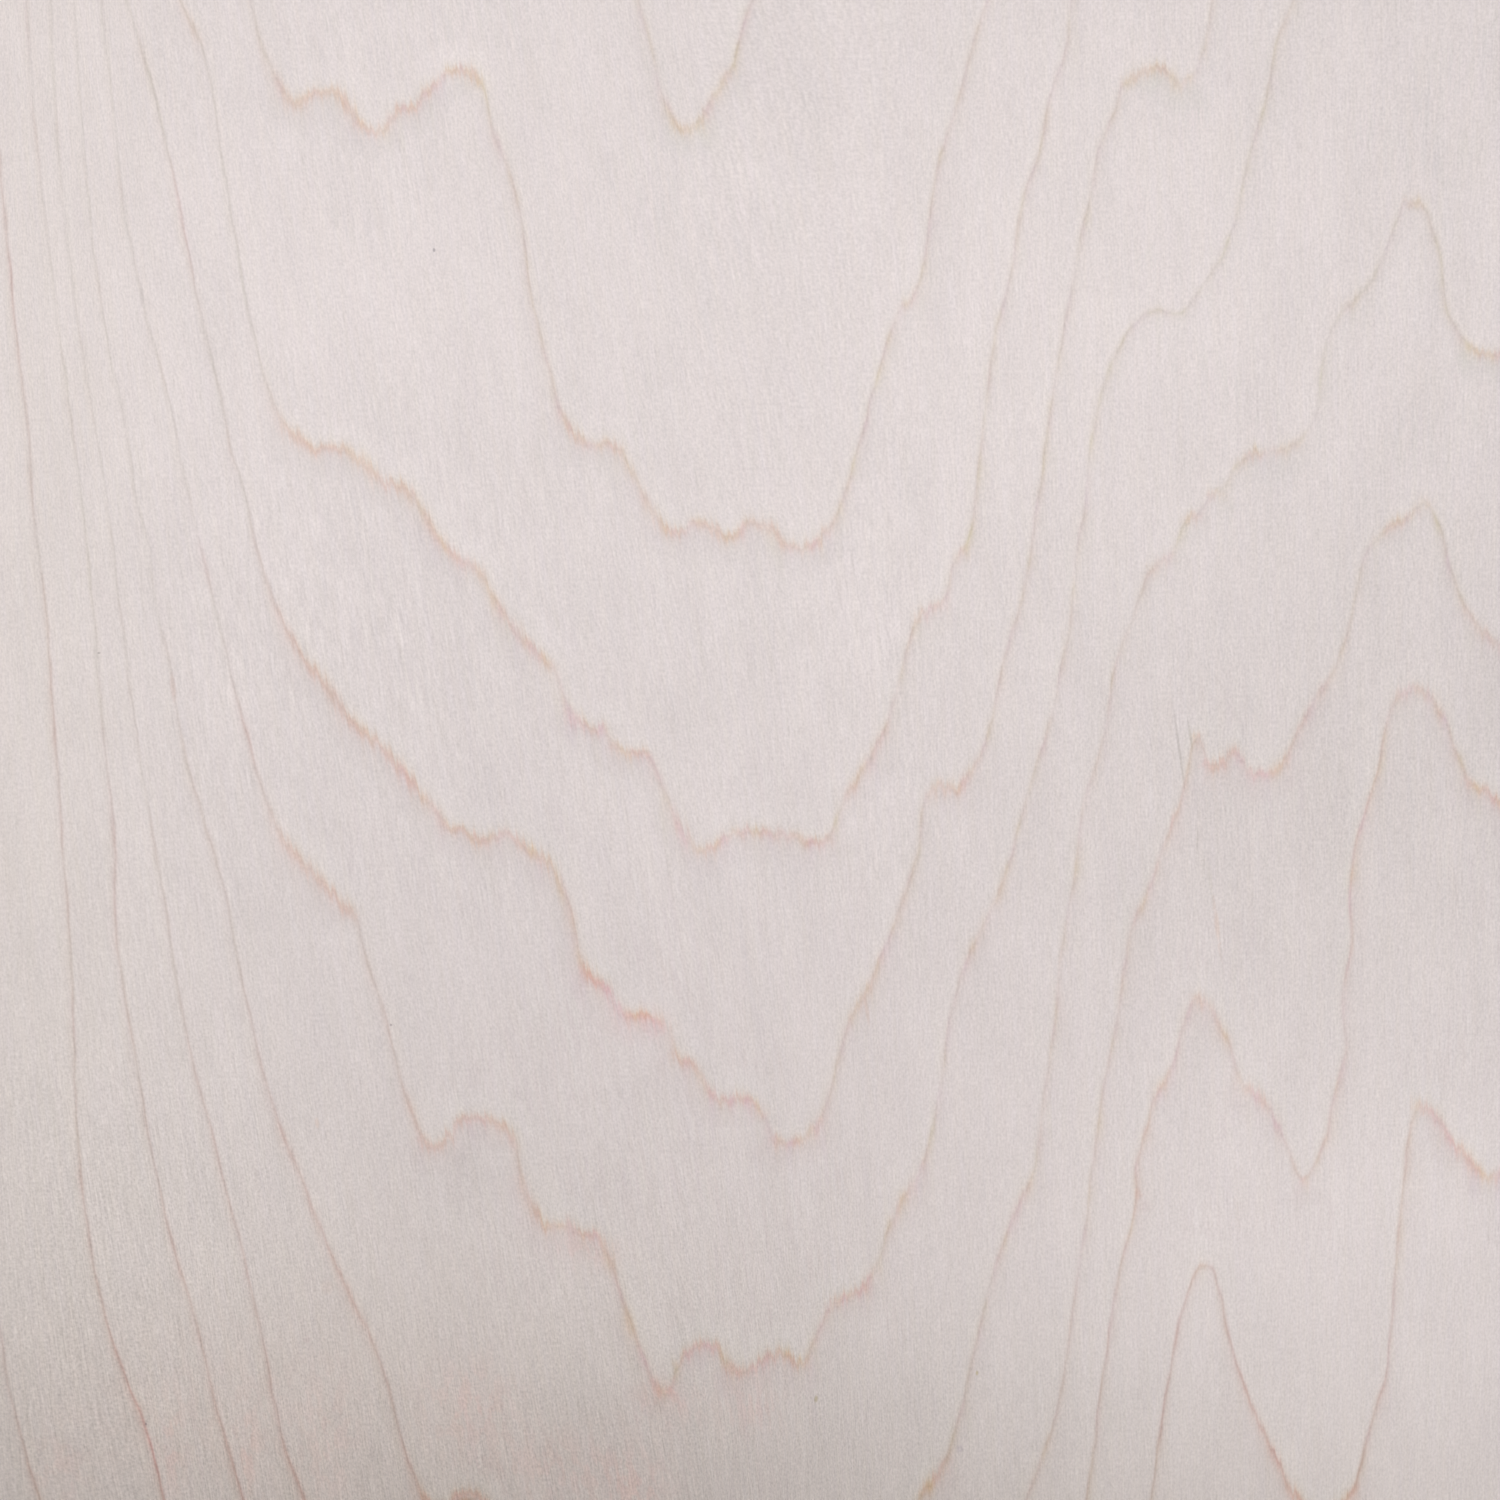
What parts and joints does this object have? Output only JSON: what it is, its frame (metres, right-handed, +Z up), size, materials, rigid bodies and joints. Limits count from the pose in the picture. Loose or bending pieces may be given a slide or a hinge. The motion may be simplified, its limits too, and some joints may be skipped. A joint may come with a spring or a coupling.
{
  "type": "plywood sheet",
  "caption": "Square panel of cross-laminated plywood with a pale, cathedral-grained maple face, sawn to size and lying flat.",
  "frame": {"origin": "middle of the back face, which lies on the floor", "axes": "+Z up through the thickness, out of the good face; +Y along the face grain; +X across the face grain"},
  "size_m": [0.305, 0.305, 0.012],
  "materials": {
    "plywood": "sanded, unfinished"
  },
  "bodies": {
    "root": {"plywood_sheet": "plywood"}
  },
  "joints": []
}
